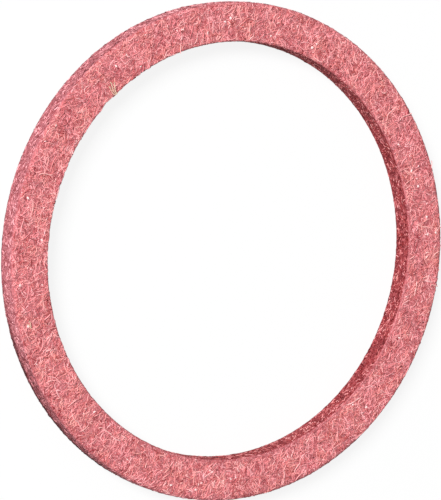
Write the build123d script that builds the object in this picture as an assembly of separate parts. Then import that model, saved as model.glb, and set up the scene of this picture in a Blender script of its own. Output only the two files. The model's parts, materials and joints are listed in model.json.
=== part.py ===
from build123d import *
import os

# Flat sealing ring, blanked and pierced from a sheet of dyed pressed fibre.
# Millimetres. The ring lies flat on its lower face with +Z as its axis. The origin
# is the centre of the lower face, so the faces are at Z = 0 and Z = thickness.

# Driving dimensions
bore_diameter = 26.0      # slips over a 26 mm thread or spigot
rim_diameter = 31.0
thickness = 1.5           # of the sheet, before it is squeezed

# Edges as the blanking tool leaves them
rim_roll_width = 0.30     # the die draws the upper rim edge down in a soft shoulder
rim_roll_depth = 0.20
bore_roll_width = 0.12    # the piercing punch leaves a smaller one at the hole
bore_roll_depth = 0.08
exit_break = 0.04         # the lower edges, where the tool comes out, stay nearly sharp

# Worked out from the dimensions above
bore_radius = bore_diameter / 2
rim_radius = rim_diameter / 2


def lower_edges():
    """Lower face with its two broken edges, from the bore wall out to the rim wall."""
    return Polyline(
        (bore_radius, exit_break),
        (bore_radius + exit_break, 0),
        (rim_radius - exit_break, 0),
        (rim_radius, exit_break),
    )


def rim_shoulder():
    """Quarter ellipse that rolls the rim wall over into the upper face."""
    centre = (rim_radius - rim_roll_width, thickness - rim_roll_depth)
    return EllipticalCenterArc(centre, rim_roll_width, rim_roll_depth, 0, arc_size=90)


def bore_shoulder():
    """Quarter ellipse that rolls the upper face over into the bore wall."""
    centre = (bore_radius + bore_roll_width, thickness - bore_roll_depth)
    return EllipticalCenterArc(centre, bore_roll_width, bore_roll_depth, 90, arc_size=90)


def ring_section():
    """Half section of the ring, drawn with the radius as X and the height as Y."""
    bottom = lower_edges()
    rim_corner = rim_shoulder()
    bore_corner = bore_shoulder()
    rim_wall = Line(bottom @ 1, rim_corner @ 0)
    upper_face = Line(rim_corner @ 1, bore_corner @ 0)
    bore_wall = Line(bore_corner @ 1, bottom @ 0)
    outline = [bottom, rim_wall, rim_corner, upper_face, bore_corner, bore_wall]
    return make_face([edge for run in outline for edge in run.edges()])


def sealing_ring():
    """The ring in one piece: its half section turned once round the axis."""
    section = Plane.XZ * ring_section()
    return revolve(section, Axis.Z, 360)


os.makedirs("parts", exist_ok=True)
export_step(sealing_ring(), "parts/sealing_ring.step")
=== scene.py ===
import bmesh
import bpy
import json
import math
import random
from mathutils import Matrix, Vector
from mathutils.kdtree import KDTree

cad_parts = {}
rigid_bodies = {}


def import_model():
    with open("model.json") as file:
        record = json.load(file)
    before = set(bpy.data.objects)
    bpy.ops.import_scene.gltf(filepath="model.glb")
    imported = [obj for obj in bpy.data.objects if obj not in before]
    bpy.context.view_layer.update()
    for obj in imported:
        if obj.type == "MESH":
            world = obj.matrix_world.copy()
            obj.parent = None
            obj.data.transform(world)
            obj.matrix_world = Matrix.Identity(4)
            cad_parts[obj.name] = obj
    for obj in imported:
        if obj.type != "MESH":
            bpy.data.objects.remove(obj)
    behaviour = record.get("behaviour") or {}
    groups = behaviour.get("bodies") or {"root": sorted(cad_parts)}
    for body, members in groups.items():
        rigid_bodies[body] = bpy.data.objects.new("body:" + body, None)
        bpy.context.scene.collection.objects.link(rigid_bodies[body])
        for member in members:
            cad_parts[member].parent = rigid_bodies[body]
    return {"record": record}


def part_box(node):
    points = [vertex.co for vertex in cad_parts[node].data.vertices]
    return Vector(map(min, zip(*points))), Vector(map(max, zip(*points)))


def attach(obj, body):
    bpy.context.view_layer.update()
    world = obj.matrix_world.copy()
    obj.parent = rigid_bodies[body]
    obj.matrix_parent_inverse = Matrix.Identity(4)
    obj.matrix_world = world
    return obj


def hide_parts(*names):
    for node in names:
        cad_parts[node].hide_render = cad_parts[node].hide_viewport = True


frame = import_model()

mm = 0.001
fullTurn = 2 * math.pi

# the sheet ring as it was packed
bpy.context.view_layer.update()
ringLow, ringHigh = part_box("sealing_ring")
rimRadius = (ringHigh.x - ringLow.x) / 2
sheetThickness = ringHigh.z - ringLow.z
boreMount = next(mount for mount in frame["record"]["mounts"] if mount["name"] == "bore")
boreRadius = boreMount["dims"]["r_mm"] * mm
faceWidth = rimRadius - boreRadius


def dropSelection():
    if bpy.context.object and bpy.context.object.mode != "OBJECT":
        bpy.ops.object.mode_set(mode="OBJECT")
    bpy.ops.object.select_all(action="DESELECT")


def activate(piece):
    dropSelection()
    piece.select_set(True)
    bpy.context.view_layer.objects.active = piece


def applyModifiers(piece):
    activate(piece)
    for modifier in list(piece.modifiers):
        bpy.ops.object.modifier_apply(modifier=modifier.name)


# small helpers for wiring nodes
def addNode(tree, kind, **choices):
    node = tree.nodes.new(kind)
    for name, choice in choices.items():
        setattr(node, name, choice)
    return node


def feed(tree, socket, value):
    if isinstance(value, bpy.types.NodeSocket):
        tree.links.new(value, socket)
    else:
        socket.default_value = value


def openSocket(sockets, name):
    return next(socket for socket in sockets if socket.name == name and socket.enabled)


def doMath(tree, operation, first, second=0.0, clamp=False):
    node = addNode(tree, "ShaderNodeMath", operation=operation, use_clamp=clamp)
    feed(tree, node.inputs[0], first)
    feed(tree, node.inputs[1], second)
    return node.outputs[0]


def doVector(tree, operation, first, second=(0, 0, 0), scale=1.0):
    node = addNode(tree, "ShaderNodeVectorMath", operation=operation)
    feed(tree, node.inputs[0], first)
    feed(tree, node.inputs[1], second)
    feed(tree, node.inputs[3], scale)
    return openSocket(node.outputs, "Value" if operation in ("LENGTH", "DOT_PRODUCT") else "Vector")


def joinAxes(tree, x, y, z):
    node = addNode(tree, "ShaderNodeCombineXYZ")
    for socket, value in zip(node.inputs, (x, y, z)):
        feed(tree, socket, value)
    return node.outputs[0]


def splitAxes(tree, vector):
    node = addNode(tree, "ShaderNodeSeparateXYZ")
    feed(tree, node.inputs[0], vector)
    return node.outputs


def flatten(tree, place):
    x, y, z = splitAxes(tree, place)
    return joinAxes(tree, x, y, 0)


def addNoise(tree, size, detail, place=None, roughness=0.5):
    node = addNode(tree, "ShaderNodeTexNoise", noise_dimensions="3D")
    node.inputs["Scale"].default_value = 1 / size
    node.inputs["Detail"].default_value = detail
    node.inputs["Roughness"].default_value = roughness
    if place is not None:
        feed(tree, node.inputs["Vector"], place)
    return node


def stretchRange(tree, value, low, high, toLow=0.0, toHigh=1.0):
    node = addNode(tree, "ShaderNodeMapRange", clamp=True)
    for socket, part in zip(node.inputs, (value, low, high, toLow, toHigh)):
        feed(tree, socket, part)
    return node.outputs[0]


# ring body: the punched sheet itself
bodySettings = {
    "stepsRound": 1200,
    "cutsAcross": 20,
    "cutsHigh": 12,
    "weld": 0.002 * mm,
    "rimShoulder": (0.30 * mm, 0.20 * mm),      # width on the face, depth on the wall
    "boreShoulder": (0.12 * mm, 0.08 * mm),
    "exitBreak": (0.04 * mm, 0.04 * mm),
    "boreDrift": (-0.071 * mm, -0.101 * mm),    # the hole sits a little off centre
    "lumpSize": 0.9 * mm,
    "lumpHeight": 0.02 * mm,
    "poreSize": 0.2 * mm,
    "poreDepth": 0.06 * mm,
    "tearSize": 0.25 * mm,
    "tearStretch": 2.5,                         # the sheet splits along its layers
    "tearDepth": 0.03 * mm,
    "tearMiddle": 0.4,                          # the tears stand a little proud on the whole
    "nickDepth": 0.4,                           # of a nick's own size
    "nickRound": 0.7,                           # under 1 makes the sides steep
}
# small nicks: angle round the ring in degrees, then radius, height and size in millimetres
nicks = [
    (-126.0, 13.0, 1.44, 0.26),      # torn step at the hole
    (-124.4, 13.0, 1.46, 0.30),
    (-122.9, 13.0, 1.44, 0.24),
    (-39.0, 13.0, 1.45, 0.16),       # notches in the edges
    (135.0, 15.4, 1.42, 0.20),
    (-85.0, 15.5, 0.98, 0.16),       # pits in the rim
    (-81.8, 15.5, 0.74, 0.14),
    (-89.6, 15.5, 1.10, 0.15),
    (-52.2, 15.45, 1.05, 0.24),
    (103.0, 13.0, 0.85, 0.18),       # pits in the bore
    (108.0, 13.0, 0.60, 0.20),
    (72.0, 13.0, 0.95, 0.28),
    (68.5, 13.0, 1.10, 0.20),
    (117.0, 13.0, 1.00, 0.22),
    (128.0, 13.0, 0.70, 0.24),
    (86.0, 13.0, 0.55, 0.16),
]


def rollCorner(point, corner, inward, shoulder):
    width, depth = shoulder
    side = math.copysign(width, corner[0] - inward[0])
    rise = math.copysign(depth, corner[1] - inward[1])
    across = (point[0] - corner[0]) / side + 1
    high = (point[1] - corner[1]) / rise + 1
    if across <= 0 or high <= 0:
        return point
    reach = math.hypot(across, high)
    return corner[0] + side * (across / reach - 1), corner[1] + rise * (high / reach - 1)


def sectionPoint(x, z, s):
    point = (x, z)
    middle = (boreRadius + faceWidth / 2, sheetThickness / 2)
    corners = (
        ((rimRadius, sheetThickness), s["rimShoulder"]),
        ((boreRadius, sheetThickness), s["boreShoulder"]),
        ((rimRadius, 0), s["exitBreak"]),
        ((boreRadius, 0), s["exitBreak"]),
    )
    for corner, shoulder in corners:
        point = rollCorner(point, corner, middle, shoulder)
    return point


def cutSectionEdges(ring, flat, cuts):
    bpy.ops.mesh.select_all(action="DESELECT")
    bpy.ops.mesh.select_mode(type="EDGE")
    mesh = bmesh.from_edit_mesh(ring.data)
    for edge in mesh.edges:
        run = edge.verts[1].co - edge.verts[0].co
        if edge.calc_length() > sheetThickness / 2 and (abs(run.z) < abs(run.x)) == flat:
            edge.select = True
    bmesh.update_edit_mesh(ring.data)
    bpy.ops.mesh.subdivide(number_cuts=cuts)


def makeRingBody(s):
    dropSelection()
    bpy.ops.mesh.primitive_plane_add(size=1, rotation=(math.pi / 2, 0, 0),
                                     location=(boreRadius + faceWidth / 2, 0, sheetThickness / 2))
    ring = bpy.context.object
    ring.name = "ringBody"
    ring.scale = (faceWidth, sheetThickness, 1)
    bpy.ops.object.transform_apply(location=True, rotation=True, scale=True)
    bpy.ops.object.mode_set(mode="EDIT")
    bpy.ops.mesh.select_all(action="SELECT")
    bpy.ops.mesh.delete(type="ONLY_FACE")
    cutSectionEdges(ring, True, s["cutsAcross"])
    cutSectionEdges(ring, False, s["cutsHigh"])
    bpy.ops.object.mode_set(mode="OBJECT")
    for vertex in ring.data.vertices:
        x, z = sectionPoint(vertex.co.x, vertex.co.z, s)
        vertex.co = (x, 0, z)
    turn = ring.modifiers.new("turn", "SCREW")
    turn.axis = "Z"
    turn.angle = fullTurn
    turn.steps = s["stepsRound"]
    turn.render_steps = s["stepsRound"]
    turn.use_merge_vertices = True
    turn.merge_threshold = s["weld"]
    applyModifiers(ring)
    bpy.ops.object.mode_set(mode="EDIT")
    bpy.ops.mesh.select_all(action="SELECT")
    bpy.ops.mesh.normals_make_consistent(inside=False)
    bpy.ops.object.mode_set(mode="OBJECT")
    print("ring body:", len(ring.data.vertices), "points")
    return ring


# the ring's skin laid flat for its colour map: four quarter turns, one strip below the other
stripHeight = 2 * (faceWidth + sheetThickness)
quarterTurn = fullTurn / 4
mapMargins = (0.01, 0.005)


def skinPlace(across, high, side):
    if side == "upper":
        return faceWidth * (across + 1) / 2
    if side == "rim":
        return faceWidth + sheetThickness * (1 - high) / 2
    if side == "lower":
        return faceWidth + sheetThickness + faceWidth * (1 - across) / 2
    return 2 * faceWidth + sheetThickness * (3 + high) / 2


def sectionShares(place):
    radius = math.hypot(place.x, place.y)
    across = (radius - boreRadius) / faceWidth * 2 - 1
    return across, place.z / sheetThickness * 2 - 1


def skinSide(place):
    across, high = sectionShares(place)
    if abs(high) > abs(across):
        return "upper" if high > 0 else "lower"
    return "rim" if across > 0 else "bore"


def unrollRing(ring):
    skin = ring.data.uv_layers.new(name="OFBake")
    aside, above = mapMargins
    for face in ring.data.polygons:
        centre = face.center
        quarter = int(math.atan2(centre.y, centre.x) % fullTurn / quarterTurn)
        side = skinSide(centre)
        for corner in face.loop_indices:
            place = ring.data.vertices[ring.data.loops[corner].vertex_index].co
            ahead = math.atan2(place.y, place.x) - (quarter + 0.5) * quarterTurn
            ahead = (ahead + math.pi) % fullTurn - math.pi
            run = ahead / quarterTurn + 0.5
            strip = (quarter + skinPlace(*sectionShares(place), side) / stripHeight) / 4
            skin.data[corner].uv = (aside + (1 - 2 * aside) * run, above + (1 - 2 * above) * strip)


def driftBore(ring, s):
    for vertex in ring.data.vertices:
        radius = math.hypot(vertex.co.x, vertex.co.y)
        share = min(1, max(0, (rimRadius - radius) / faceWidth))
        vertex.co.x += s["boreDrift"][0] * share
        vertex.co.y += s["boreDrift"][1] * share


def ringPlace(angle, radius, height=0.0):      # from degrees and millimetres
    angle = math.radians(angle)
    return Vector((radius * math.cos(angle) * mm, radius * math.sin(angle) * mm, height * mm))


def nickPlace(nick):
    angle, radius, height, size = nick
    return ringPlace(angle, radius, height), size * mm


def cutNicks(ring, s):
    search = KDTree(len(ring.data.vertices))
    for vertex in ring.data.vertices:
        search.insert(vertex.co, vertex.index)
    search.balance()
    normals = [vertex.normal.copy() for vertex in ring.data.vertices]
    for place, size in map(nickPlace, nicks):
        for co, index, distance in search.find_range(place, size):
            bite = s["nickDepth"] * size * (1 - distance / size) ** s["nickRound"]
            ring.data.vertices[index].co -= normals[index] * bite


def groupSurfaces(ring):
    faces = ring.vertex_groups.new(name="faces")
    walls = ring.vertex_groups.new(name="walls")
    for vertex in ring.data.vertices:
        flatness = vertex.normal.z ** 2
        faces.add([vertex.index], flatness, "REPLACE")
        walls.add([vertex.index], 1 - flatness, "REPLACE")


def addRelief(ring, name, kind, size, height, middle, group, guide=None):
    texture = bpy.data.textures.new(name, kind)
    texture.noise_scale = size
    relief = ring.modifiers.new(name, "DISPLACE")
    relief.texture = texture
    relief.strength = height
    relief.mid_level = middle
    relief.vertex_group = group
    relief.texture_coords = "OBJECT" if guide else "LOCAL"
    relief.texture_coords_object = guide


def roughenBody(ring, s):
    dropSelection()
    bpy.ops.object.empty_add()
    guide = bpy.context.object
    guide.scale = (s["tearStretch"], s["tearStretch"], 1)
    bpy.context.view_layer.update()
    groupSurfaces(ring)
    addRelief(ring, "lumps", "CLOUDS", s["lumpSize"], s["lumpHeight"], 0.5, "faces")
    addRelief(ring, "pores", "STUCCI", s["poreSize"], s["poreDepth"], 1, "faces")
    addRelief(ring, "tears", "CLOUDS", s["tearSize"], s["tearDepth"], s["tearMiddle"], "walls", guide)
    applyModifiers(ring)
    bpy.data.objects.remove(guide)


ring = makeRingBody(bodySettings)
unrollRing(ring)
driftBore(ring, bodySettings)
cutNicks(ring, bodySettings)
roughenBody(ring, bodySettings)
print("ring body: roughened")
activate(ring)
bpy.ops.object.shade_smooth()


# matted fibres, scattered over one surface of the body at a time
def randomValue(tree, low, high, seed):
    node = addNode(tree, "FunctionNodeRandomValue", data_type="FLOAT")
    openSocket(node.inputs, "Min").default_value = low
    openSocket(node.inputs, "Max").default_value = high
    openSocket(node.inputs, "Seed").default_value = seed
    return openSocket(node.outputs, "Value")


def compare(tree, operation, first, second):
    node = addNode(tree, "FunctionNodeCompare", data_type="FLOAT", operation=operation)
    feed(tree, node.inputs[0], first)
    feed(tree, node.inputs[1], second)
    return node.outputs[0]


def keep(tree, geometry, name, value, domain="POINT", kind="FLOAT"):
    node = addNode(tree, "GeometryNodeStoreNamedAttribute", domain=domain, data_type=kind)
    tree.links.new(geometry, node.inputs["Geometry"])
    node.inputs["Name"].default_value = name
    feed(tree, openSocket(node.inputs, "Value"), value)
    return node.outputs[0]


def recall(tree, name):
    node = addNode(tree, "GeometryNodeInputNamedAttribute", data_type="FLOAT")
    node.inputs["Name"].default_value = name
    return openSocket(node.outputs, "Attribute")


def outwardAxis(tree, s, place):
    if s["surface"] == "face":
        return joinAxes(tree, 0, 0, s["side"])
    radial = doVector(tree, "NORMALIZE", flatten(tree, place))
    return doVector(tree, "SCALE", radial, scale=s["side"])


def pickRoots(tree, body, place, s):
    normal = addNode(tree, "GeometryNodeInputNormal").outputs[0]
    facing = doVector(tree, "DOT_PRODUCT", normal, outwardAxis(tree, s, place))
    roots = addNode(tree, "GeometryNodeDistributePointsOnFaces", distribute_method="RANDOM")
    tree.links.new(body, roots.inputs["Mesh"])
    tree.links.new(compare(tree, "GREATER_THAN", facing, s["squareOn"]), roots.inputs["Selection"])
    clumps = addNoise(tree, s["clumpSize"], 1)
    share = stretchRange(tree, clumps.outputs[0], *s["clumpRange"], 1 - s["clumping"], 1 + s["clumping"])
    feed(tree, roots.inputs["Density"], doMath(tree, "MULTIPLY", share, s["perSquareMm"] / mm ** 2))
    roots.inputs["Seed"].default_value = s["seed"]
    return roots.outputs["Points"]


def layStrands(tree, points, place, s):
    arc = addNode(tree, "GeometryNodeCurveQuadraticBezier")
    arc.inputs["Resolution"].default_value = s["segments"]
    arc.inputs["Start"].default_value = (-0.5, 0, 0)
    arc.inputs["Middle"].default_value = (0, 1, 0)
    arc.inputs["End"].default_value = (0.5, 0, 0)
    upright = outwardAxis(tree, s, place)
    roundWay = doVector(tree, "CROSS_PRODUCT", (0, 0, 1), flatten(tree, place))
    stand = addNode(tree, "FunctionNodeAxesToRotation", primary_axis="Z", secondary_axis="X")
    tree.links.new(upright, stand.inputs[0])
    tree.links.new(roundWay, stand.inputs[1])
    swing = randomValue(tree, -1, 1, s["seed"] + 1)
    swing = doMath(tree, "MULTIPLY", swing, math.radians(s["swing"]))
    twist = addNode(tree, "FunctionNodeEulerToRotation")
    feed(tree, twist.inputs[0], joinAxes(tree, 0, 0, swing))
    spin = addNode(tree, "FunctionNodeRotateRotation", rotation_space="LOCAL")
    tree.links.new(stand.outputs[0], spin.inputs[0])
    tree.links.new(twist.outputs[0], spin.inputs[1])
    short, long = s["length"]
    pick = doMath(tree, "POWER", randomValue(tree, 0, 1, s["seed"] + 2), s["shortBias"])
    length = stretchRange(tree, pick, 0.0, 1.0, short, long)
    bend = doMath(tree, "MULTIPLY", length, randomValue(tree, -s["bend"], s["bend"], s["seed"] + 3))
    lay = addNode(tree, "GeometryNodeInstanceOnPoints")
    tree.links.new(points, lay.inputs["Points"])
    tree.links.new(arc.outputs[0], lay.inputs["Instance"])
    tree.links.new(spin.outputs[0], lay.inputs["Rotation"])
    feed(tree, lay.inputs["Scale"], joinAxes(tree, length, bend, length))
    return lay.outputs[0]


# painted shade on the walls, with a few dark spots: angle round the ring and reach in degrees,
# then height and reach up the wall in millimetres, and strength
wallShadeAndSpots = {
    "lowEdge": 0.13 * mm, "patch": 0.35 * mm, "patchShare": 0.4,
    "rimLow": 1.0, "boreLow": 0.4,           # strength of the painted shade along the low edge, by the floor
    "rim": [
        (-40, 24, 0.1, 1.9, 0.55),           # painted shade on this side of the rim
        (-26, 48, 0.0, 0.62, 1.8),           # painted shade on the low edge on this side
        (-134, 16, 1.28, 0.16, 0.55),        # painted shade in the crease below the face
        (-132, 50, 0.6, 2.4, 0.12),          # painted shade, a little darker here too
    ],
    "bore": [
        (128, 50, 0.7, 2.4, 0.13),           # painted shade on this side of the bore
        (70, 6, 0.9, 0.9, 0.45),             # painted shade in the torn crease
        (62, 6, 0.6, 0.5, 0.30),             # dark spots
        # painted shade round the pits here
        (103, 7, 0.7, 0.9, 0.28),
    ],
}
fullShare = 0.4      # a dark mark has its full strength within this share of its reach


# painted shade on a wall, with the listed dark spots
def wallShade(tree, place, side):
    s = wallShadeAndSpots
    darkMarks, low = (s["rim"], s["rimLow"]) if side > 0 else (s["bore"], s["boreLow"])
    way = doVector(tree, "NORMALIZE", flatten(tree, place))
    z = splitAxes(tree, place)[2]
    patch = addNoise(tree, s["patch"], 2, place).outputs[0]
    patch = stretchRange(tree, patch, 0.35, 0.6, s["patchShare"], 1.0)
    shade = stretchRange(tree, z, s["lowEdge"] / 2, s["lowEdge"], low, 0.0)
    for angle, reach, height, tall, strength in darkMarks:
        angle = math.radians(angle)
        reach = math.radians(reach)
        near = doVector(tree, "DOT_PRODUCT", way, (math.cos(angle), math.sin(angle), 0))
        near = stretchRange(tree, near, math.cos(reach), math.cos(reach * fullShare), 0.0, strength)
        away = doMath(tree, "ABSOLUTE", doMath(tree, "SUBTRACT", z, height * mm))
        high = stretchRange(tree, away, tall * fullShare * mm, tall * mm, 1.0, 0.0)
        darkMark = doMath(tree, "MULTIPLY", doMath(tree, "MULTIPLY", near, high), patch)
        shade = doMath(tree, "MAXIMUM", shade, darkMark)
    return shade


# painted shade: the darker side of the rim runs on over the shoulder
shoulderShade = {"way": math.radians(-40), "from": 0.93, "full": 0.98, "reach": 0.5 * mm, "strength": 0.40}


def edgeShade(tree, place):
    s = shoulderShade
    flat = flatten(tree, place)
    way = (math.cos(s["way"]), math.sin(s["way"]), 0)
    near = doVector(tree, "DOT_PRODUCT", doVector(tree, "NORMALIZE", flat), way)
    near = stretchRange(tree, near, s["from"], s["full"], 0.0, s["strength"])
    radius = doVector(tree, "LENGTH", flat)
    return doMath(tree, "MULTIPLY", near, stretchRange(tree, radius, rimRadius - s["reach"], rimRadius))


# painted shade in and around the nicks
def nickShade(tree, place):
    shade = 0.0
    for spot, size in map(nickPlace, nicks):
        away = doVector(tree, "LENGTH", doVector(tree, "SUBTRACT", place, spot))
        shade = doMath(tree, "MAXIMUM", shade, stretchRange(tree, away, size * fullShare, size, 1.0, 0.0))
    return shade


def tintStrands(tree, strands, place, s):
    layer = randomValue(tree, 0, 1, s["seed"] + 4)
    mottle = addNoise(tree, s["mottleSize"], 2)
    blush = addNoise(tree, s["mottleSize"] * 1.6, 1, doVector(tree, "ADD", place, (0.4, 0.7, 0.1)))
    own = doMath(tree, "MULTIPLY", randomValue(tree, 0, 1, s["seed"] + 5), s["tintSpread"])
    # strands lower in the felt are tinted darker: partly painted shade between the strands, partly darker
    # dye
    high = doMath(tree, "MULTIPLY", layer, s["tintByLayer"])
    patch = doMath(tree, "SUBTRACT", mottle.outputs[0], 0.5)
    patch = doMath(tree, "MULTIPLY", patch, s["tintByPatch"])
    tint = doMath(tree, "ADD", doMath(tree, "ADD", own, high), patch)
    tint = doMath(tree, "ADD", tint, s["tintStart"])
    # painted shade lowers the tint: on the walls, over the rim's darker shoulder and round the nicks
    if s["surface"] == "wall":
        tint = doMath(tree, "SUBTRACT", tint, wallShade(tree, place, s["side"]))
    elif s["side"] > 0:
        tint = doMath(tree, "SUBTRACT", tint, edgeShade(tree, place))
    tint = doMath(tree, "SUBTRACT", tint, doMath(tree, "MULTIPLY", nickShade(tree, place), s["nickShade"]))
    tint = doMath(tree, "MAXIMUM", doMath(tree, "MINIMUM", tint, 1.0), 0.0)
    warm = stretchRange(tree, blush.outputs[0], 0.35, 0.75, 0.0, s["warmByPatch"])
    warm = doMath(tree, "ADD", warm, randomValue(tree, 0, s["warmSpread"], s["seed"] + 6), clamp=True)
    girth = randomValue(tree, *s["girth"], s["seed"] + 7)
    for name, value in (("tint", tint), ("warm", warm), ("layer", layer), ("girth", girth)):
        strands = keep(tree, strands, name, value, "INSTANCE")
    real = addNode(tree, "GeometryNodeRealizeInstances")
    tree.links.new(strands, real.inputs[0])
    return real.outputs[0]


def curlStrands(tree, strands, place, s):
    curl = addNode(tree, "ShaderNodeTexNoise", noise_dimensions="4D")
    curl.inputs["Scale"].default_value = 1 / s["curlSize"]
    curl.inputs["Detail"].default_value = 1
    feed(tree, curl.inputs["Vector"], place)
    own = doMath(tree, "MULTIPLY", recall(tree, "tint"), s["curlChange"])      # neighbours curl apart
    feed(tree, curl.inputs["W"], own)
    push = doVector(tree, "SUBTRACT", curl.outputs["Color"], (0.5, 0.5, 0.5))
    move = addNode(tree, "GeometryNodeSetPosition")
    tree.links.new(strands, move.inputs["Geometry"])
    feed(tree, move.inputs["Offset"], doVector(tree, "SCALE", push, scale=s["curl"]))
    return move.outputs[0]


def dropWhere(tree, strands, test, domain):
    drop = addNode(tree, "GeometryNodeDeleteGeometry", domain=domain)
    tree.links.new(strands, drop.inputs[0])
    tree.links.new(test, drop.inputs[1])
    return drop.outputs[0]


def trimStrands(tree, strands, place, s):
    if s["surface"] == "face":
        radius = doVector(tree, "LENGTH", flatten(tree, place))
        past = doMath(tree, "SUBTRACT", radius, rimRadius + s["overRim"])
        short = doMath(tree, "SUBTRACT", boreRadius - s["overBore"], radius)
    else:
        z = splitAxes(tree, place)[2]
        past = doMath(tree, "SUBTRACT", z, sheetThickness - s["belowFace"])
        short = doMath(tree, "SUBTRACT", s["aboveBack"], z)
    outside = compare(tree, "GREATER_THAN", doMath(tree, "MAXIMUM", past, short), 0.0)
    strands = dropWhere(tree, strands, outside, "POINT")
    spline = addNode(tree, "GeometryNodeSplineLength")
    stub = compare(tree, "LESS_THAN", spline.outputs["Point Count"], 2.5)
    return dropWhere(tree, strands, stub, "CURVE")


def drapeStrands(tree, strands, body, place, s):
    nearest = addNode(tree, "GeometryNodeProximity", target_element="FACES")
    tree.links.new(body, nearest.inputs[0])
    under = addNode(tree, "GeometryNodeSampleNearestSurface", data_type="FLOAT_VECTOR")
    tree.links.new(body, under.inputs["Mesh"])
    tree.links.new(addNode(tree, "GeometryNodeInputNormal").outputs[0], openSocket(under.inputs, "Value"))
    deep, proud = s["heights"]
    height = stretchRange(tree, recall(tree, "layer"), 0.0, 1.0, deep, proud)
    weave = addNoise(tree, s["weaveSize"], 0, place)
    wave = doMath(tree, "MULTIPLY", doMath(tree, "SUBTRACT", weave.outputs[0], 0.5), s["weave"])
    height = doMath(tree, "ADD", height, wave)
    lift = doVector(tree, "SCALE", openSocket(under.outputs, "Value"), scale=height)
    drape = addNode(tree, "GeometryNodeSetPosition")
    tree.links.new(strands, drape.inputs["Geometry"])
    feed(tree, drape.inputs["Position"], doVector(tree, "ADD", nearest.outputs["Position"], lift))
    return drape.outputs[0]


def thickenStrands(tree, strands, s):
    along = addNode(tree, "GeometryNodeSplineParameter").outputs["Factor"]
    strands = keep(tree, strands, "along", along)
    hump = doMath(tree, "MULTIPLY", along, doMath(tree, "SUBTRACT", 1.0, along))
    taper = doMath(tree, "POWER", doMath(tree, "MULTIPLY", hump, 4.0), 0.3)
    taper = doMath(tree, "MAXIMUM", taper, s["tip"])
    profile = addNode(tree, "GeometryNodeCurvePrimitiveCircle")
    profile.inputs["Resolution"].default_value = s["sides"]
    profile.inputs["Radius"].default_value = 0.5
    order = addNode(tree, "GeometryNodeInputIndex").outputs[0]
    profile = keep(tree, profile.outputs[0], "around", doMath(tree, "DIVIDE", order, s["sides"]))
    tube = addNode(tree, "GeometryNodeCurveToMesh")
    tree.links.new(strands, tube.inputs["Curve"])
    tree.links.new(profile, tube.inputs["Profile Curve"])
    feed(tree, tube.inputs["Scale"], doMath(tree, "MULTIPLY", recall(tree, "girth"), taper))
    tube.inputs["Fill Caps"].default_value = True
    return tube.outputs[0]


# each strand gets its own small patch of the colour chart, placed by its tint and its warmth
chartSettings = {"tintSpan": 0.94, "warmSpan": 0.9, "patch": 0.03, "margin": 0.01}


def chartStrands(tree, tubes, s):
    around = recall(tree, "around")
    across = doMath(tree, "MULTIPLY", recall(tree, "tint"), s["tintSpan"])
    across = doMath(tree, "ADD", across, doMath(tree, "MULTIPLY", around, s["patch"]))
    up = doMath(tree, "MULTIPLY", recall(tree, "warm"), s["warmSpan"])
    up = doMath(tree, "ADD", up, doMath(tree, "MULTIPLY", recall(tree, "along"), s["patch"]))
    bow = doMath(tree, "MULTIPLY", around, around)
    up = doMath(tree, "ADD", up, doMath(tree, "MULTIPLY", bow, s["patch"]))
    across = doMath(tree, "ADD", across, s["margin"])
    up = doMath(tree, "ADD", up, s["margin"])
    return keep(tree, tubes, "OFBake", joinAxes(tree, across, up, 0), "CORNER", "FLOAT2")


def feltTree(s):
    tree = bpy.data.node_groups.new(s["name"], "GeometryNodeTree")
    tree.interface.new_socket("Body", in_out="INPUT", socket_type="NodeSocketGeometry")
    tree.interface.new_socket("Felt", in_out="OUTPUT", socket_type="NodeSocketGeometry")
    body = addNode(tree, "NodeGroupInput").outputs[0]
    place = addNode(tree, "GeometryNodeInputPosition").outputs[0]
    strands = layStrands(tree, pickRoots(tree, body, place, s), place, s)
    strands = tintStrands(tree, strands, place, s)
    strands = curlStrands(tree, strands, place, s)
    strands = trimStrands(tree, strands, place, s)
    strands = drapeStrands(tree, strands, body, place, s)
    tubes = chartStrands(tree, thickenStrands(tree, strands, s), chartSettings)
    soft = addNode(tree, "GeometryNodeSetShadeSmooth")
    tree.links.new(tubes, soft.inputs[0])
    tree.links.new(soft.outputs[0], addNode(tree, "NodeGroupOutput").inputs[0])
    return tree


def scatterFelt(ring, s):
    activate(ring)
    bpy.ops.object.duplicate()
    felt = bpy.context.object
    felt.name = s["name"]
    felt.modifiers.new("felt", "NODES").node_group = feltTree(s)
    applyModifiers(felt)
    felt.vertex_groups.clear()
    for name in ("tint", "warm", "layer", "girth", "along", "around"):
        spare = felt.data.attributes.get(name)
        if spare:
            felt.data.attributes.remove(spare)
    felt.data.calc_loop_triangles()
    print(s["name"] + ":", len(felt.data.loop_triangles), "triangles")
    return felt


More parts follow.
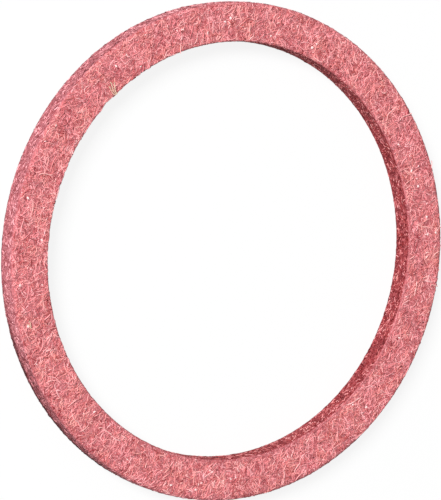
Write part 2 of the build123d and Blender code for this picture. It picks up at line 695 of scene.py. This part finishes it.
feltDefaults = {
    "surface": "face", "side": 1, "sides": 3, "segments": 3, "tip": 0.5,
    "squareOn": 0.6,                    # how squarely a spot must face outward for a fibre to root there
    "clumpSize": 1.0 * mm, "clumping": 0.3, "clumpRange": (0.3, 0.7), "swing": 180,
    "length": (0.15 * mm, 0.6 * mm), "shortBias": 1.3, "bend": 0.45,
    "girth": (0.05 * mm, 0.10 * mm), "curl": 0.12 * mm, "curlSize": 0.4 * mm, "curlChange": 40,
    "heights": (-0.045 * mm, 0.012 * mm), "weave": 0.035 * mm, "weaveSize": 0.2 * mm,
    "overRim": -0.03 * mm, "overBore": -0.02 * mm, "nickShade": 0.8,
    "mottleSize": 0.6 * mm, "warmByPatch": 0.7, "warmSpread": 0.3,
    "tintStart": 0.0, "tintSpread": 0.78, "tintByLayer": 0.16, "tintByPatch": 0.8,
}
wallDefaults = {
    **feltDefaults, "surface": "wall", "belowFace": 0.06 * mm, "aboveBack": 0.03 * mm,
    "length": (0.10 * mm, 0.38 * mm), "swing": 75, "curl": 0.08 * mm, "bend": 0.4,
    "girth": (0.045 * mm, 0.085 * mm), "heights": (-0.025 * mm, 0.002 * mm), "weave": 0.02 * mm,
    "clumping": 0.4, "clumpSize": 0.5 * mm, "mottleSize": 0.35 * mm,
}
felts = {
    "deepFelt": {**feltDefaults, "seed": 11, "perSquareMm": 43, "tintSpread": 0.70, "tintStart": 0.05},
    "topFelt": {
        **feltDefaults, "seed": 31, "perSquareMm": 26, "segments": 4,
        "length": (0.22 * mm, 1.1 * mm), "shortBias": 3.0, "bend": 0.35,
        "girth": (0.055 * mm, 0.10 * mm), "curlSize": 0.5 * mm, "curl": 0.09 * mm,
        "heights": (-0.02 * mm, 0.016 * mm), "tintSpread": 0.72, "tintStart": 0.06,
    },
    "darkFelt": {
        **feltDefaults, "seed": 131, "perSquareMm": 7, "length": (0.12 * mm, 0.45 * mm),
        "girth": (0.035 * mm, 0.07 * mm), "heights": (0.0, 0.025 * mm),
        "tintSpread": 0.25, "tintByLayer": 0.0, "tintByPatch": 0.5, "tintStart": 0.03,
    },
    "backFelt": {
        **feltDefaults, "seed": 51, "perSquareMm": 26, "side": -1, "length": (0.2 * mm, 0.9 * mm),
        "heights": (-0.06 * mm, -0.02 * mm), "weave": 0.02 * mm,
    },
    "rimFelt": {
        **wallDefaults, "seed": 71, "perSquareMm": 46, "side": 1,
        "tintSpread": 1.0, "tintStart": -0.02, "tintByPatch": 1.0,
    },
    "boreFelt": {
        **wallDefaults, "seed": 91, "perSquareMm": 58, "side": -1,
        "tintSpread": 1.15, "tintStart": -0.12, "tintByPatch": 1.1,
    },
}
feltPieces = {name: scatterFelt(ring, {"name": name, **own}) for name, own in felts.items()}


def fillRamp(ramp, stops):
    while len(ramp.elements) < len(stops):
        ramp.elements.new(0.5)
    for element, (position, colour) in zip(ramp.elements, stops):
        element.position = position
        element.color = (*colour, 1)


def makeFeltMaterial(name, s):
    material = bpy.data.materials.new(name)
    material.use_nodes = True
    tree = material.node_tree
    shader = tree.nodes["Principled BSDF"]
    chart = addNode(tree, "ShaderNodeUVMap", uv_map="OFBake")
    u, v, w = splitAxes(tree, chart.outputs[0])
    blend = addNode(tree, "ShaderNodeMix", data_type="RGBA")
    feed(tree, blend.inputs["Factor"], v)
    for socket, stops in ((blend.inputs[6], s["cool"]), (blend.inputs[7], s["warm"])):
        ramp = addNode(tree, "ShaderNodeValToRGB")
        fillRamp(ramp.color_ramp, stops)
        feed(tree, ramp.inputs[0], u)
        tree.links.new(ramp.outputs[0], socket)
    tree.links.new(blend.outputs[2], shader.inputs["Base Color"])
    shader.inputs["Roughness"].default_value = s["roughness"]
    shader.inputs["Specular IOR Level"].default_value = s["sheen"]
    return material


faceColours = {
    "roughness": 0.75, "sheen": 0.15,
    "cool": [(0.0, (0.27, 0.026, 0.040)), (0.2, (0.50, 0.108, 0.130)), (0.5, (0.755, 0.262, 0.290)),
             (0.8, (0.87, 0.380, 0.415)), (1.0, (0.95, 0.550, 0.580))],
    "warm": [(0.0, (0.27, 0.030, 0.028)), (0.2, (0.51, 0.122, 0.108)), (0.5, (0.765, 0.276, 0.250)),
             (0.8, (0.86, 0.395, 0.355)), (1.0, (0.93, 0.560, 0.510))],
}
rimColours = {
    "roughness": 0.75, "sheen": 0.2,
    "cool": [(0.0, (0.055, 0.010, 0.012)), (0.2, (0.24, 0.034, 0.042)), (0.5, (0.54, 0.196, 0.222)),
             (0.8, (0.78, 0.335, 0.372)), (1.0, (0.92, 0.470, 0.515))],
    "warm": [(0.0, (0.055, 0.010, 0.010)), (0.2, (0.24, 0.034, 0.035)), (0.5, (0.55, 0.190, 0.196)),
             (0.8, (0.78, 0.330, 0.335)), (1.0, (0.92, 0.480, 0.480))],
}
# the bore's strands are much darker than the face's: painted shade inside the hole
boreShadedColours = {
    "roughness": 0.8, "sheen": 0.1,
    "cool": [(0.0, (0.10, 0.004, 0.006)), (0.25, (0.27, 0.024, 0.030)), (0.5, (0.47, 0.098, 0.108)),
             (0.8, (0.70, 0.220, 0.235)), (1.0, (0.85, 0.380, 0.400))],
    "warm": [(0.0, (0.10, 0.004, 0.005)), (0.25, (0.28, 0.028, 0.026)), (0.5, (0.48, 0.106, 0.098)),
             (0.8, (0.70, 0.230, 0.215)), (1.0, (0.85, 0.390, 0.360))],
}
faceFelt = makeFeltMaterial("faceFelt", faceColours)
wallFelts = {
    "rimFelt": makeFeltMaterial("rimFelt", rimColours),
    "boreFelt": makeFeltMaterial("boreFelt", boreShadedColours),
}
for name, piece in feltPieces.items():
    piece.data.materials.clear()
    piece.data.materials.append(wallFelts.get(name, faceFelt))


def mixColours(tree, factor, first, second):
    node = addNode(tree, "ShaderNodeMix", data_type="RGBA")
    feed(tree, node.inputs["Factor"], factor)
    for socket, value in ((node.inputs[6], first), (node.inputs[7], second)):
        feed(tree, socket, (*value, 1) if isinstance(value, tuple) else value)
    return node.outputs[2]


def addRidges(tree, place, size, offset, width):
    moved = doVector(tree, "ADD", place, (offset, -offset, offset))
    noise = addNoise(tree, size, 1, moved)
    away = doMath(tree, "ABSOLUTE", doMath(tree, "SUBTRACT", noise.outputs[0], 0.5))
    return stretchRange(tree, away, 0.0, width, 1.0, 0.0)      # thin winding lines, like fibres pressed in


def zoneColour(tree, zones, mottle, lines, key):
    dark, middle, light = zones[key]
    return mixColours(tree, lines, mixColours(tree, mottle, dark, middle), light)


sheetColours = {
    "roughness": 0.85, "sheen": 0.15, "bump": 0.02 * mm, "shade": 0.7, "wallTilt": (0.35, 0.75),
    "blend": 0.1 * mm, "coarse": 0.5 * mm, "fine": 0.16 * mm,
    "ridges": ((1.0, 0.013, 0.05), (1.4, 0.031, 0.035)),      # share of the fine size, offset and width
    "face": ((0.28, 0.045, 0.055), (0.58, 0.155, 0.170), (0.78, 0.310, 0.330)),
    "rim": ((0.18, 0.026, 0.033), (0.40, 0.112, 0.130), (0.60, 0.225, 0.255)),
    # the bore is darker than the rim wall: painted shade inside the hole
    "bore": ((0.08, 0.003, 0.005), (0.26, 0.030, 0.036), (0.46, 0.100, 0.112)),
    # the colour of the painted shade on the rim wall
    "paintedShadeColour": (0.055, 0.012, 0.014),
}


def insideShare(tree, place, blend):
    radius = doVector(tree, "LENGTH", flatten(tree, place))
    middle = boreRadius + faceWidth / 2
    return stretchRange(tree, radius, middle - blend, middle + blend, 1.0, 0.0)


def makeSheetMaterial(s):
    material = bpy.data.materials.new("pressedFibre")
    material.use_nodes = True
    tree = material.node_tree
    shader = tree.nodes["Principled BSDF"]
    place = addNode(tree, "ShaderNodeTexCoord").outputs["Object"]
    normal = addNode(tree, "ShaderNodeNewGeometry").outputs["Normal"]
    tilt = doMath(tree, "ABSOLUTE", splitAxes(tree, normal)[2])
    wall = stretchRange(tree, tilt, *s["wallTilt"], 1.0, 0.0)
    inside = insideShare(tree, place, s["blend"])
    mottle = addNoise(tree, s["coarse"], 3, place, 0.7).outputs[0]
    mottle = stretchRange(tree, mottle, 0.3, 0.65)
    lines = 0.0
    for share, offset, width in s["ridges"]:
        lines = doMath(tree, "MAXIMUM", lines, addRidges(tree, place, s["fine"] * share, offset, width))
    rim = zoneColour(tree, s, mottle, lines, "rim")
    bore = zoneColour(tree, s, mottle, lines, "bore")
    face = zoneColour(tree, s, mottle, lines, "face")
    # painted shade on the rim wall and its low edge, blended towards a near-black colour
    shade = doMath(tree, "MULTIPLY", wallShade(tree, place, 1), s["shade"], clamp=True)
    rim = mixColours(tree, shade, rim, s["paintedShadeColour"])
    colour = mixColours(tree, wall, face, mixColours(tree, inside, rim, bore))
    tree.links.new(colour, shader.inputs["Base Color"])
    shader.inputs["Roughness"].default_value = s["roughness"]
    shader.inputs["Specular IOR Level"].default_value = s["sheen"]
    bump = addNode(tree, "ShaderNodeBump")
    bump.inputs["Distance"].default_value = s["bump"]
    feed(tree, bump.inputs["Height"], doMath(tree, "ADD", lines, mottle))
    tree.links.new(bump.outputs[0], shader.inputs["Normal"])
    return material


ring.data.materials.append(makeSheetMaterial(sheetColours))

# specks on the upper face: angle round the ring in degrees and radius in millimetres;
# the spare ones lie at random
speckDefaults = {
    "sink": 0.01 * mm, "grain": 0.06 * mm, "breadth": (0.5, 0.9), "jitter": 0.008 * mm,
    "clearBore": 0.3 * mm, "clearRim": 0.4 * mm,
}
# pale grains whose near-white colour is partly a painted glint
paleGlintSpecks = {
    **speckDefaults, "name": "paleGlintSpecks", "seed": 5, "spare": 26, "long": (0.10 * mm, 0.22 * mm),
    "flat": 0.25, "roughness": 0.5, "edge": (0.90, 0.50, 0.50), "core": (0.93, 0.74, 0.72),
    "places": [(-152, 14.38), (-150.6, 14.44), (104, 14.39), (117, 14.07), (122, 14.46), (119, 14.1),
               (12, 14.08), (2, 14.42), (4, 13.61), (55, 14.29), (163, 14.04), (168, 14.08), (-178, 13.61),
               (-107, 15.16), (-55, 15.10), (-132, 14.47), (-64, 14.87), (-97, 13.56)],
}
darkSpecks = {
    **speckDefaults, "name": "darkSpecks", "seed": 8, "spare": 60, "long": (0.06 * mm, 0.14 * mm),
    "flat": 0.3, "roughness": 0.8, "edge": (0.22, 0.035, 0.045), "core": (0.09, 0.012, 0.018),
    "places": [(-63, 13.63), (-78, 14.36), (-78, 13.28), (119, 15.20), (125, 15.23), (147, 15.22)],
}


def addSpeck(angle, radius, draw, s):
    place = (radius * math.cos(angle), radius * math.sin(angle), sheetThickness - s["sink"])
    long = draw.uniform(*s["long"])
    bpy.ops.mesh.primitive_ico_sphere_add(subdivisions=2, radius=0.5, location=place,
                                          rotation=(0, 0, draw.uniform(0, fullTurn)))
    speck = bpy.context.object
    speck.scale = (long, long * draw.uniform(*s["breadth"]), long * s["flat"])
    return speck


def addSpecks(s):
    draw = random.Random(s["seed"])
    spots = [(math.radians(angle), radius * mm) for angle, radius in s["places"]]
    for spare in range(s["spare"]):
        angle = draw.uniform(0, fullTurn)
        radius = draw.uniform(boreRadius + s["clearBore"], rimRadius - s["clearRim"])
        spots.append((angle, radius))
    dropSelection()
    specks = [addSpeck(angle, radius, draw, s) for angle, radius in spots]
    for speck in specks:
        speck.select_set(True)
    bpy.context.view_layer.objects.active = specks[0]
    bpy.ops.object.join()
    bpy.ops.object.transform_apply(location=True, rotation=True, scale=True)
    joined = bpy.context.object
    joined.name = s["name"]
    bpy.ops.object.mode_set(mode="EDIT")
    bpy.ops.mesh.select_all(action="SELECT")
    bpy.ops.transform.vertex_random(offset=s["jitter"], seed=s["seed"])
    bpy.ops.object.mode_set(mode="OBJECT")
    bpy.ops.object.shade_smooth()
    print(s["name"] + ":", len(joined.data.polygons), "faces")
    return joined


def makeSpeckMaterial(s):
    material = bpy.data.materials.new(s["name"])
    material.use_nodes = True
    tree = material.node_tree
    shader = tree.nodes["Principled BSDF"]
    place = addNode(tree, "ShaderNodeTexCoord").outputs["Object"]
    grain = stretchRange(tree, addNoise(tree, s["grain"], 2, place).outputs[0], 0.4, 0.6)
    tree.links.new(mixColours(tree, grain, s["edge"], s["core"]), shader.inputs["Base Color"])
    shader.inputs["Roughness"].default_value = s["roughness"]
    return material


# loose fibres: angle round the ring and radius, then heading and length,
# in degrees and millimetres; the tufts are olive
looseFibres = {
    "name": "looseFibres", "girth": 0.06 * mm, "lift": 0.02 * mm, "steps": 8, "roughness": 0.6,
    "pink": (0.93, 0.50, 0.48), "olive": (0.66, 0.50, 0.36), "oliveReach": (0.5 * mm, 0.8 * mm),
    "grain": 0.3 * mm, "grainShare": 0.35,
    "tufts": [(-128.6, 13.48, -150, 0.75), (-128.1, 13.56, -138, 0.85), (-127.4, 13.50, -125, 0.70),
              (-63.9, 14.82, 60, 0.45), (-64.5, 14.74, 35, 0.40)],
    "singles": [(135.0, 14.95, 128, 1.00), (-150.0, 13.35, 20, 0.60), (121.0, 15.42, 15, 0.45),
                (91.0, 15.20, 95, 0.55), (-7.0, 15.35, 70, 0.50), (138.5, 14.2, 150, 0.95),
                (-100.0, 14.3, 100, 0.85), (-30.0, 13.9, 75, 1.0), (30.0, 14.6, 160, 0.7)],
}


def addFibre(angle, radius, heading, length, s):
    place = ringPlace(angle, radius)
    place.z = sheetThickness + s["lift"]
    bpy.ops.curve.primitive_bezier_curve_add(radius=length * mm / 2, location=place,
                                             rotation=(0, 0, math.radians(heading)))
    fibre = bpy.context.object
    fibre.data.resolution_u = s["steps"]
    fibre.data.bevel_depth = s["girth"] / 2
    fibre.data.bevel_resolution = 1
    fibre.data.use_fill_caps = True
    bpy.ops.object.convert(target="MESH")
    return bpy.context.object


def makeFibreMaterial(s):
    material = bpy.data.materials.new(s["name"])
    material.use_nodes = True
    tree = material.node_tree
    shader = tree.nodes["Principled BSDF"]
    place = addNode(tree, "ShaderNodeTexCoord").outputs["Object"]
    flat = flatten(tree, place)
    near, far = s["oliveReach"]
    olive = 0.0
    for angle, radius, heading, length in s["tufts"]:
        away = doVector(tree, "LENGTH", doVector(tree, "SUBTRACT", flat, ringPlace(angle, radius)))
        olive = doMath(tree, "MAXIMUM", olive, stretchRange(tree, away, near, far, 1.0, 0.0))
    colour = mixColours(tree, olive, s["pink"], s["olive"])
    grain = addNoise(tree, s["grain"], 2, place).outputs[0]
    grain = stretchRange(tree, grain, 0.35, 0.65, 0.0, s["grainShare"])
    tree.links.new(mixColours(tree, grain, colour, sheetColours["face"][1]), shader.inputs["Base Color"])
    shader.inputs["Roughness"].default_value = s["roughness"]
    return material


def addFibres(s):
    dropSelection()
    fibres = [addFibre(*fibre, s) for fibre in s["tufts"] + s["singles"]]
    for fibre in fibres:
        fibre.select_set(True)
    bpy.context.view_layer.objects.active = fibres[0]
    bpy.ops.object.join()
    bpy.ops.object.transform_apply(location=True, rotation=True, scale=True)
    joined = bpy.context.object
    joined.name = s["name"]
    joined.data.materials.append(makeFibreMaterial(s))
    print(s["name"] + ":", len(joined.data.polygons), "faces")
    return joined


specks = [addFibres(looseFibres)]
for s in (paleGlintSpecks, darkSpecks):
    piece = addSpecks(s)
    piece.data.materials.append(makeSpeckMaterial(s))
    specks.append(piece)

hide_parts("sealing_ring")
for piece in (ring, *feltPieces.values(), *specks):
    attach(piece, "root")

# camera, looking down on the ring as it lies
cameraSettings = {
    "distance": 162 * mm,
    "elevation": 58.743,
    "roll": 100.54,
    "lens": 186.9,
    "clip": (1 * mm, 10),
    "aim": (-0.018 * mm, -0.242 * mm, -0.147 * mm),
}


def addCamera(s):
    tilt = math.radians(s["elevation"])
    back = Vector((0, -math.cos(tilt), math.sin(tilt)))
    bpy.ops.object.camera_add(location=Vector(s["aim"]) + back * s["distance"])
    camera = bpy.context.object
    turn = back.to_track_quat("Z", "Y").to_matrix() @ Matrix.Rotation(math.radians(s["roll"]), 3, "Z")
    camera.rotation_euler = turn.to_euler()
    camera.data.lens = s["lens"]
    camera.data.clip_start, camera.data.clip_end = s["clip"]
    bpy.context.scene.camera = camera


addCamera(cameraSettings)

floorSettings = {"size": 2, "colour": (0.8, 0.8, 0.8), "roughness": 0.9, "glow": 0.87}


def addFloor(s):
    dropSelection()
    bpy.ops.mesh.primitive_plane_add(size=s["size"])
    floor = bpy.context.object
    floor.name = "floor"
    material = bpy.data.materials.new("paleFloor")
    material.use_nodes = True
    tree = material.node_tree
    shader = tree.nodes["Principled BSDF"]
    shader.inputs["Base Color"].default_value = (*s["colour"], 1)
    shader.inputs["Roughness"].default_value = s["roughness"]
    shader.inputs["Specular IOR Level"].default_value = 0
    glow = addNode(tree, "ShaderNodeEmission")
    mix = addNode(tree, "ShaderNodeMixShader")
    rays = addNode(tree, "ShaderNodeLightPath")
    seen = doMath(tree, "MAXIMUM", rays.outputs["Is Camera Ray"], rays.outputs["Is Glossy Ray"])
    seen = doMath(tree, "MAXIMUM", seen, rays.outputs["Is Transmission Ray"])
    feed(tree, mix.inputs[0], doMath(tree, "MULTIPLY", seen, s["glow"]))
    tree.links.new(shader.outputs[0], mix.inputs[1])
    tree.links.new(glow.outputs[0], mix.inputs[2])
    tree.links.new(mix.outputs[0], tree.nodes["Material Output"].inputs[0])
    floor.data.materials.append(material)


addFloor(floorSettings)

lampSettings = {
    "name": "key", "azimuth": 18, "elevation": 40, "distance": 0.9, "size": 0.33, "power": 12.8,
    "fill": 0.28,      # strength of the plain sky
}


def addLamp(s):
    azimuth = math.radians(s["azimuth"])
    elevation = math.radians(s["elevation"])
    level = math.cos(elevation)
    away = Vector((-math.sin(azimuth) * level, -math.cos(azimuth) * level, math.sin(elevation)))
    bpy.ops.object.light_add(type="AREA", location=away * s["distance"])
    lamp = bpy.context.object
    lamp.name = s["name"]
    lamp.rotation_euler = away.to_track_quat("Z", "Y").to_euler()
    lamp.data.size = s["size"]
    lamp.data.energy = s["power"]


def fillWorld(s):
    world = bpy.context.scene.world or bpy.data.worlds.new("World")
    bpy.context.scene.world = world
    world.use_nodes = True
    sky = world.node_tree.nodes["Background"]
    sky.inputs["Color"].default_value = (1, 1, 1, 1)
    sky.inputs["Strength"].default_value = s["fill"]


addLamp(lampSettings)
fillWorld(lampSettings)
bpy.context.scene.view_settings.view_transform = "Standard"
print("camera, floor and light: in place")
